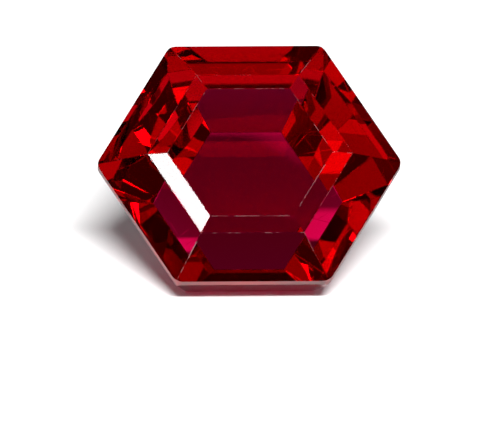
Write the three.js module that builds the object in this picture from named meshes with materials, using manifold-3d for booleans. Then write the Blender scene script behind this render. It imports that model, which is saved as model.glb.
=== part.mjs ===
// A cut and polished ruby: a six-sided step-cut gemstone with a flat culet.
// It is made as a cutter makes it: a hexagonal blank with softened corners, then one flat cut for each facet.
// Millimetres, +Z up. The stone lies on a facet of its pavilion, with its table facing the front, -Y.
import * as THREE from 'three';
import { mergeVertices } from 'three/addons/utils/BufferGeometryUtils.js';
import Module from 'manifold-3d';

// Girdle: the band around the widest part of the stone
const GIRDLE_WIDTH = 10;        // across two opposite sides
const GIRDLE_HEIGHT = 0.28;
const CORNER_RADIUS = 0.45;
const CORNER_STEPS = 6;

// Steps of the stone, counted outwards from the girdle. Each angle is measured from the girdle's plane,
// and each step ends where the sides of the next one are that width apart.
const CROWN_STEPS = [
  { angle: 25.5, endWidth: 6.7 },
  { angle: 10.5, endWidth: 5.4 },     // ends at the table
];
const PAVILION_STEPS = [
  { angle: 69, endWidth: 8.35 },
  { angle: 47, endWidth: 4.6 },       // ends at the culet
];

// The stone lies on a facet of its lower pavilion step
const REST_ANGLE = PAVILION_STEPS[1].angle;

const SIDES = 6;
const RUBY_COLOUR = 0x9b0410;
const POLISH_ROUGHNESS = 0.05;

const BLANK_HEIGHT = 4 * GIRDLE_WIDTH;
const CUTTER_SIZE = 8 * GIRDLE_WIDTH;

const wasm = await Module();
wasm.setup();

// Turns a closed three.js geometry into a solid that can be cut
function solidFrom(geometry) {
  const bare = geometry.clone();
  bare.deleteAttribute('normal');
  bare.deleteAttribute('uv');
  const merged = mergeVertices(bare, 1e-5);
  const mesh = new wasm.Mesh({
    numProp: 3,
    vertProperties: new Float32Array(merged.attributes.position.array),
    triVerts: new Uint32Array(merged.index.array),
  });
  return new wasm.Manifold(mesh);
}

// Turns a solid back into a three.js geometry with flat faces
function geometryFrom(solid) {
  const mesh = solid.getMesh();
  const shared = new THREE.BufferGeometry();
  shared.setAttribute('position', new THREE.BufferAttribute(mesh.vertProperties, 3));
  shared.setIndex(new THREE.BufferAttribute(mesh.triVerts, 1));
  const flat = shared.toNonIndexed();
  flat.computeVertexNormals();
  return flat;
}

// The girdle's outline: a hexagon with a corner on each end of the X axis, its corners softened by arcs
function girdleOutline() {
  const halfCorner = Math.PI / SIDES;
  const cornerDistance = (GIRDLE_WIDTH / 2 - CORNER_RADIUS) / Math.cos(halfCorner);
  const outline = new THREE.Shape();
  for (let corner = 0; corner < SIDES; corner += 1) {
    const turn = 2 * halfCorner * corner;
    const x = cornerDistance * Math.cos(turn);
    const y = cornerDistance * Math.sin(turn);
    outline.absarc(x, y, CORNER_RADIUS, turn - halfCorner, turn + halfCorner, false);
  }
  outline.closePath();
  return outline;
}

// The blank before cutting, with the stone's axis along Z and the middle of the girdle at the origin
function blank() {
  const options = { depth: BLANK_HEIGHT, bevelEnabled: false, curveSegments: CORNER_STEPS };
  const prism = new THREE.ExtrudeGeometry(girdleOutline(), options);
  prism.translate(0, 0, -BLANK_HEIGHT / 2);
  return solidFrom(prism);
}

// A block whose lower face lies on a facet's plane: it leans out from the stone's axis by the facet's angle,
// towards the side at the given turn, and its face passes through the point at this radius and height
function facetCutter(angle, turn, radius, height) {
  const block = new THREE.BoxGeometry(CUTTER_SIZE, CUTTER_SIZE, CUTTER_SIZE);
  block.translate(0, 0, CUTTER_SIZE / 2);
  block.rotateY(THREE.MathUtils.degToRad(angle));
  block.translate(radius, 0, height);
  block.rotateZ(turn);
  return block;
}

// Cuts one end of the stone: a ring of facets for each step, then the flat facet that closes that end
function cutEnd(stone, steps, up) {
  let cut = stone;
  let radius = GIRDLE_WIDTH / 2;
  let height = GIRDLE_HEIGHT / 2;
  const cutFacet = (angle, turn) => {
    const cutter = facetCutter(angle, turn, radius, height);
    if (!up) {
      cutter.rotateX(Math.PI);
    }
    cut = cut.subtract(solidFrom(cutter));
  };
  for (const { angle, endWidth } of steps) {
    for (let side = 0; side < SIDES; side += 1) {
      cutFacet(angle, (2 * side + 1) * Math.PI / SIDES);
    }
    height += (radius - endWidth / 2) * Math.tan(THREE.MathUtils.degToRad(angle));
    radius = endWidth / 2;
  }
  cutFacet(0, 0);
  return cut;
}

// The whole stone, cut from its blank
function cutStone() {
  const withCrown = cutEnd(blank(), CROWN_STEPS, true);
  return geometryFrom(cutEnd(withCrown, PAVILION_STEPS, false));
}

const ruby = new THREE.Mesh(
  cutStone(),
  new THREE.MeshStandardMaterial({ color: RUBY_COLOUR, roughness: POLISH_ROUGHNESS, metalness: 0 }),
);
ruby.name = 'ruby';
ruby.rotation.x = THREE.MathUtils.degToRad(REST_ANGLE);

// Sets the stone down with the middle of its footprint at the origin
const box = new THREE.Box3().setFromObject(ruby, true);
ruby.position.set(-(box.min.x + box.max.x) / 2, -(box.min.y + box.max.y) / 2, -box.min.z);

const part = new THREE.Group();
part.add(ruby);

export default part;
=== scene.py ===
import math

import bmesh
import bpy
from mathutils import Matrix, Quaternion, Vector


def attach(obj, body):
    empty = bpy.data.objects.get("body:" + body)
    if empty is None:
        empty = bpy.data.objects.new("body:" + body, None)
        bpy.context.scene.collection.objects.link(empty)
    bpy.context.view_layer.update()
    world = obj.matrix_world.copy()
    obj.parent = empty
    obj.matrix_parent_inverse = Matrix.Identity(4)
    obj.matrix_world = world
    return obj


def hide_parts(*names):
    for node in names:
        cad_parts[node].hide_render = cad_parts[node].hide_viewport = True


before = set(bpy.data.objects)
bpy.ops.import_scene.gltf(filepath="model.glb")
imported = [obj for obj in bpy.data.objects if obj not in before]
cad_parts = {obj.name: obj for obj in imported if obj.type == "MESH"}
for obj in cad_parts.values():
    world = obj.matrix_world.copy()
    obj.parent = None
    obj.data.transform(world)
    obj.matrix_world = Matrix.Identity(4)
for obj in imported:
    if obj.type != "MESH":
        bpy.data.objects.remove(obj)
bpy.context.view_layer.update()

MM = 0.001
WHITE = (1, 1, 1, 1)

# Camera, from the photograph's frame and the stone's outline in it
PHOTO_SIZE = (500, 443)
GIRDLE_CENTRE_PIXEL = (249.3, 163.3)
PIXELS_PER_MM = 26.55
CAMERA_ELEVATION = 15.6
CAMERA_AZIMUTH = -2.75
CAMERA_ROLL = 0.4
CAMERA_DISTANCE = 0.6
SENSOR_WIDTH = 36
NEAREST_SEEN = 0.01

# The centre of the girdle's front rim, and the lean of the stone's table, which repeat the solid's own values
GIRDLE_CENTRE = Vector((0, -0.703, 4.71)) * MM
AXIS_LEAN = 47

# The solid's triangles are joined into facets: closer points become one, and flatter edges are left out
SAME_POINT = 0.002 * MM
FACET_MERGE_ANGLE = 0.6

# Edges between large facets are worn to narrow flats
EDGE_WEAR_WIDTH = 0.03 * MM
SHARP_EDGE_ANGLE = 8
LARGE_FACET_AREA = 1.5 * MM * MM
CUT_TOLERANCE = 1e-9

# Faces that run along the stone's axis, within this angle, are the girdle
GIRDLE_SLANT = 3

# Ruby: refractive index, and how strongly each millimetre takes away red, green and blue light
RUBY_IOR = 1.765
RUBY_ABSORPTION_PER_MM = (0.1, 1.3, 0.53)

# Finish: roughness of the polished facets, the ground girdle, the worn edges and the scratches
POLISHED_ROUGHNESS = 0.0
GROUND_ROUGHNESS = 0.5
WORN_ROUGHNESS = 0.35
SCRATCH_ROUGHNESS = 0.05
GROUND_TINT = (0.55, 0.4, 0.35, 1)
SCRATCH_DEPTH = 0.0002 * MM

# Layers of scratches: turn on the table, half length and half width
SCRATCH_LAYERS = [
    (4, 0.8 * MM, 0.014 * MM),
    (62, 0.5 * MM, 0.01 * MM),
    (-35, 0.3 * MM, 0.01 * MM),
]
SCRATCH_SHARE = 0.045

# Patches of wear along the worn edges, from a noise: wear sets in between the two values of the range
WEAR_FINENESS = 2.5 / MM
WEAR_DETAIL = 3
WEAR_RANGE = (0.45, 0.6)

# A hair of air below the stone, as under a real one, so that the facet it lies on mirrors light inside it
FLOOR_GAP = 0.01 * MM
FLOOR_SIZE = 3.0
FLOOR_ROUGHNESS = 0.7

# Painted pool of light on the floor: its colour is white around the stone and turns grey from the first
# radius to the second, a painted falloff of the light away from the stone
PAINTED_POOL_RADIUS = (44 * MM, 52 * MM)
PAINTED_POOL_GREY = (0.9, 0.2)

# Softboxes around the stone: azimuth, elevation, width and height in degrees, brightness of the face, and
# whether the facets mirror it. The floor's own light has the same values in the same order.
LIGHT_DISTANCE = 1.2
STONE_LIGHTS = {
    "key": (-27.1, 57.6, 7, 7, 13, True),
    "overhead": (0, 72, 24, 20, 1.1, False),
    "upper": (-4, 57, 14, 12, 1.8, False),
    "upper_right": (26, 57, 22, 14, 2.6, False),
    "top_right": (52, 67, 14, 22, 2.3, False),
    "low_right": (36, 20, 52, 18, 2.4, False),
    "low_left": (-14, 15, 18, 10, 20, False),
    "front_left": (-25, 36, 24, 12, 8, False),
    "right_side": (72, 6, 22, 10, 1.6, True),
    "left_side": (-70, 6, 22, 10, 2.2, True),
    "back_right": (155, 32, 34, 24, 8, True),
    "back_left": (-155, 32, 34, 24, 5, True),
}
FLOOR_LIGHT = (2, 30.5, 17, 5, 395, False)
ROOM_BRIGHTNESS = 0.15

# How often light may bounce in all, off shiny surfaces and through clear ones
ALL_BOUNCES = 32
SHINY_BOUNCES = 24
CLEAR_BOUNCES = 24


def direction(azimuth, elevation):
    """The unit vector towards a place around the stone: azimuth to the right of the front, elevation up."""
    turn = math.radians(azimuth)
    rise = math.radians(elevation)
    return Vector((math.sin(turn) * math.cos(rise), -math.cos(turn) * math.cos(rise), math.sin(rise)))


def new_object(name, mesh, material):
    """Puts a mesh with one material into the scene."""
    piece = bpy.data.objects.new(name, mesh)
    bpy.context.scene.collection.objects.link(piece)
    mesh.materials.append(material)
    return piece


def new_material(name):
    """A new material, with its node tree and its main shader."""
    material = bpy.data.materials.new(name)
    material.use_nodes = True
    tree = material.node_tree
    return material, tree, tree.nodes["Principled BSDF"]


def add_node(tree, kind, inputs, **settings):
    """Adds a shader node. Each of its inputs is a value or another node's output."""
    node = tree.nodes.new(kind)
    for name, value in settings.items():
        setattr(node, name, value)
    for name, value in inputs.items():
        if isinstance(value, bpy.types.NodeSocket):
            tree.links.new(value, node.inputs[name])
        else:
            node.inputs[name].default_value = value
    return node


def face_mark(tree, name):
    """A mark on the stone's faces: 1 where a face has it and 0 elsewhere."""
    return add_node(tree, "ShaderNodeAttribute", {}, attribute_name=name).outputs["Fac"]


def mixed(tree, share, first, second):
    """A value between two others."""
    inputs = {"Factor": share, "A": first, "B": second}
    return add_node(tree, "ShaderNodeMix", inputs, data_type="FLOAT").outputs["Result"]


def mixed_colour(tree, share, first, second):
    """A colour between two others. The node's colour sockets share their names, so they go by number."""
    inputs = {0: share, 6: first, 7: second}
    return add_node(tree, "ShaderNodeMix", inputs, data_type="RGBA").outputs[2]


def scratches(tree, place, turn, half_length, half_width):
    """Thin scratches side by side: 1 along the middle of a scratch and 0 between them."""
    stretch = (SCRATCH_SHARE / half_length, SCRATCH_SHARE / half_width, 1)
    turned = add_node(tree, "ShaderNodeMapping", {"Vector": place, "Rotation": (0, 0, math.radians(turn))})
    cells = add_node(tree, "ShaderNodeMapping", {"Vector": turned.outputs["Vector"], "Scale": stretch})
    pattern = add_node(tree, "ShaderNodeTexVoronoi", {"Vector": cells.outputs["Vector"], "Scale": 1},
                       voronoi_dimensions="2D")
    inputs = {"Value": pattern.outputs["Distance"], "From Min": SCRATCH_SHARE, "From Max": 0}
    return add_node(tree, "ShaderNodeMapRange", inputs).outputs["Result"]


def all_scratches(tree, place):
    """The layers of scratches put together."""
    total = None
    for turn, half_length, half_width in SCRATCH_LAYERS:
        layer = scratches(tree, place, turn, half_length, half_width)
        if total is None:
            total = layer
        else:
            joined = add_node(tree, "ShaderNodeMath", {0: total, 1: layer}, operation="MAXIMUM")
            total = joined.outputs["Value"]
    return total


def broken_wear(tree, place):
    """Wear that comes and goes along an edge."""
    inputs = {"Vector": place, "Scale": WEAR_FINENESS, "Detail": WEAR_DETAIL}
    noise = add_node(tree, "ShaderNodeTexNoise", inputs)
    inputs = {"Value": noise.outputs["Fac"], "From Min": WEAR_RANGE[0], "From Max": WEAR_RANGE[1]}
    patches = add_node(tree, "ShaderNodeMapRange", inputs).outputs["Result"]
    inputs = {0: patches, 1: face_mark(tree, "worn")}
    return add_node(tree, "ShaderNodeMath", inputs, operation="MULTIPLY").outputs["Value"]


def place_on_stone(tree):
    """The place on the stone, turned so that the stone's axis is upright."""
    position = add_node(tree, "ShaderNodeTexCoord", {}).outputs["Object"]
    upright = (-math.radians(AXIS_LEAN), 0, 0)
    return add_node(tree, "ShaderNodeMapping", {"Vector": position, "Rotation": upright}).outputs["Vector"]


def add_finish(tree, shader):
    """Polished facets with a few scratches, worn edges and a ground girdle."""
    place = place_on_stone(tree)
    marks = all_scratches(tree, place)
    ground = face_mark(tree, "ground")
    roughness = mixed(tree, marks, POLISHED_ROUGHNESS, SCRATCH_ROUGHNESS)
    roughness = mixed(tree, broken_wear(tree, place), roughness, WORN_ROUGHNESS)
    roughness = mixed(tree, ground, roughness, GROUND_ROUGHNESS)
    tree.links.new(roughness, shader.inputs["Roughness"])
    tree.links.new(mixed_colour(tree, ground, WHITE, GROUND_TINT), shader.inputs["Base Color"])
    bump = add_node(tree, "ShaderNodeBump", {"Height": marks, "Distance": SCRATCH_DEPTH}, invert=True)
    tree.links.new(bump.outputs["Normal"], shader.inputs["Normal"])


def add_absorption(tree):
    """The stone's colour: light fades on its way through it, green the most and red the least."""
    density = max(RUBY_ABSORPTION_PER_MM) / MM
    kept = [1 - share / MM / density for share in RUBY_ABSORPTION_PER_MM]
    absorption = add_node(tree, "ShaderNodeVolumeAbsorption", {"Density": density, "Color": (*kept, 1)})
    tree.links.new(absorption.outputs["Volume"], tree.nodes["Material Output"].inputs["Volume"])


def ruby_material():
    """Clear red corundum."""
    material, tree, shader = new_material("ruby")
    shader.inputs["IOR"].default_value = RUBY_IOR
    shader.inputs["Transmission Weight"].default_value = 1
    add_finish(tree, shader)
    add_absorption(tree)
    return material


def merged_solid(node):
    """The solid's mesh with its triangles joined into whole facets."""
    solid = bmesh.new()
    solid.from_mesh(node.data)
    bmesh.ops.remove_doubles(solid, verts=solid.verts, dist=SAME_POINT)
    bmesh.ops.dissolve_limit(solid, angle_limit=math.radians(FACET_MERGE_ANGLE),
                             verts=solid.verts, edges=solid.edges)
    return solid


def worn_planes(solid):
    """A plane for each edge where two large facets meet, just inside the edge."""
    planes = []
    for edge in solid.edges:
        one, other = edge.link_faces
        turn = one.normal.angle(other.normal)
        large = min(one.calc_area(), other.calc_area()) > LARGE_FACET_AREA
        if large and turn > math.radians(SHARP_EDGE_ANGLE):
            depth = EDGE_WEAR_WIDTH / 2 * math.tan(turn / 2)
            normal = (one.normal + other.normal).normalized()
            planes.append((edge.verts[0].co - normal * depth, normal))
    return planes


def wear_edges(solid):
    """Cuts a narrow flat along each edge between large facets, and marks these flats as worn."""
    worn = solid.faces.layers.float.new("worn")
    for point, normal in worn_planes(solid):
        geometry = solid.verts[:] + solid.edges[:] + solid.faces[:]
        cut = bmesh.ops.bisect_plane(solid, geom=geometry, plane_co=point, plane_no=normal,
                                     clear_outer=True, dist=CUT_TOLERANCE)
        rim = [part for part in cut["geom_cut"] if isinstance(part, bmesh.types.BMEdge)]
        filled = bmesh.ops.holes_fill(solid, edges=rim)
        for face in filled["faces"]:
            face[worn] = 1


def mark_girdle(solid):
    """Marks the faces of the girdle, which is ground and not polished."""
    ground = solid.faces.layers.float.new("ground")
    axis = direction(0, 90 - AXIS_LEAN)
    for face in solid.faces:
        if abs(face.normal.dot(axis)) < math.sin(math.radians(GIRDLE_SLANT)):
            face[ground] = 1


def make_ruby():
    """The stone, from the solid's facets, with its edges worn."""
    solid = merged_solid(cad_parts["ruby"])
    wear_edges(solid)
    bmesh.ops.recalc_face_normals(solid, faces=solid.faces)
    mark_girdle(solid)
    mesh = bpy.data.meshes.new("ruby_stone")
    solid.to_mesh(mesh)
    solid.free()
    stone = new_object("ruby_stone", mesh, ruby_material())
    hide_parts("ruby")
    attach(stone, "root")
    return stone


def floor_material():
    """White floor with a painted pool of light: its colour turns grey far from the stone, as painted shade
    where the light would fall off.
    """
    material, tree, shader = new_material("floor")
    shader.inputs["Roughness"].default_value = FLOOR_ROUGHNESS
    position = add_node(tree, "ShaderNodeTexCoord", {}).outputs["Object"]
    # Painted shade: the floor's colour greys with distance from the stone, in place of light falling off
    radius = add_node(tree, "ShaderNodeVectorMath", {0: position}, operation="LENGTH").outputs["Value"]
    inputs = {"Value": radius, "From Min": PAINTED_POOL_RADIUS[0], "From Max": PAINTED_POOL_RADIUS[1],
              "To Min": PAINTED_POOL_GREY[0], "To Max": PAINTED_POOL_GREY[1]}
    grey = add_node(tree, "ShaderNodeMapRange", inputs).outputs["Result"]
    tree.links.new(grey, shader.inputs["Base Color"])
    return material


def make_floor():
    """A large flat floor that the stone lies on."""
    mesh = bpy.data.meshes.new("floor")
    corners = [(x * FLOOR_SIZE, y * FLOOR_SIZE, -FLOOR_GAP) for x, y in ((-1, -1), (1, -1), (1, 1), (-1, 1))]
    mesh.from_pydata(corners, [], [(0, 1, 2, 3)])
    floor = new_object("floor", mesh, floor_material())
    return floor


def softbox(name, lit, azimuth, elevation, wide, high, brightness, mirrored):
    """A studio light that is aimed at the stone and lights one group of objects."""
    light = bpy.data.lights.new(name, "AREA")
    light.shape = "RECTANGLE"
    light.size = 2 * LIGHT_DISTANCE * math.tan(math.radians(wide / 2))
    light.size_y = 2 * LIGHT_DISTANCE * math.tan(math.radians(high / 2))
    light.energy = brightness * light.size * light.size_y * math.pi
    lamp = bpy.data.objects.new(name, light)
    bpy.context.scene.collection.objects.link(lamp)
    towards = direction(azimuth, elevation)
    lamp.location = GIRDLE_CENTRE + towards * LIGHT_DISTANCE
    lamp.rotation_mode = "QUATERNION"
    lamp.rotation_quaternion = (-towards).to_track_quat("-Z", "Y")
    lamp.visible_glossy = mirrored
    lamp.light_linking.receiver_collection = lit


def lit_group(name, thing):
    """A group with one object in it, for the lights that light this object."""
    group = bpy.data.collections.new(name)
    group.objects.link(thing)
    return group


def make_room():
    """A dim white room, which the facets don't mirror."""
    world = bpy.data.worlds.new("room")
    bpy.context.scene.world = world
    world.use_nodes = True
    background = world.node_tree.nodes["Background"]
    background.inputs["Color"].default_value = WHITE
    background.inputs["Strength"].default_value = ROOM_BRIGHTNESS
    world.cycles_visibility.glossy = False


def light_scene(stone, floor):
    """Soft studio lights for the stone and one for the floor, in a dim room."""
    stone_group = lit_group("lit_stone", stone)
    for name, values in STONE_LIGHTS.items():
        softbox(name, stone_group, *values)
    softbox("floor_light", lit_group("lit_floor", floor), *FLOOR_LIGHT)
    make_room()


def make_camera():
    """A long lens that frames the stone as the photograph does."""
    camera = bpy.data.cameras.new("camera")
    viewer = bpy.data.objects.new("camera", camera)
    bpy.context.scene.collection.objects.link(viewer)
    pixel = MM / PIXELS_PER_MM
    back = direction(CAMERA_AZIMUTH, CAMERA_ELEVATION)
    level = (-back).to_track_quat("-Z", "Y")
    turn = level @ Quaternion((0, 0, 1), math.radians(CAMERA_ROLL))
    right = turn @ Vector((1, 0, 0))
    up = turn @ Vector((0, 1, 0))
    across = PHOTO_SIZE[0] / 2 - GIRDLE_CENTRE_PIXEL[0]
    down = PHOTO_SIZE[1] / 2 - GIRDLE_CENTRE_PIXEL[1]
    target = GIRDLE_CENTRE + right * across * pixel - up * down * pixel
    viewer.location = target + back * CAMERA_DISTANCE
    viewer.rotation_mode = "QUATERNION"
    viewer.rotation_quaternion = turn
    camera.sensor_width = SENSOR_WIDTH
    camera.lens = SENSOR_WIDTH * CAMERA_DISTANCE / (PHOTO_SIZE[0] * pixel)
    camera.clip_start = NEAREST_SEEN
    bpy.context.scene.camera = viewer


def set_light_paths():
    """Enough bounces for light that turns round inside the stone, and colours shown as they are."""
    scene = bpy.context.scene
    scene.view_settings.view_transform = "Standard"
    scene.cycles.max_bounces = ALL_BOUNCES
    scene.cycles.glossy_bounces = SHINY_BOUNCES
    scene.cycles.transmission_bounces = CLEAR_BOUNCES


ruby = make_ruby()
light_scene(ruby, make_floor())
make_camera()
set_light_paths()
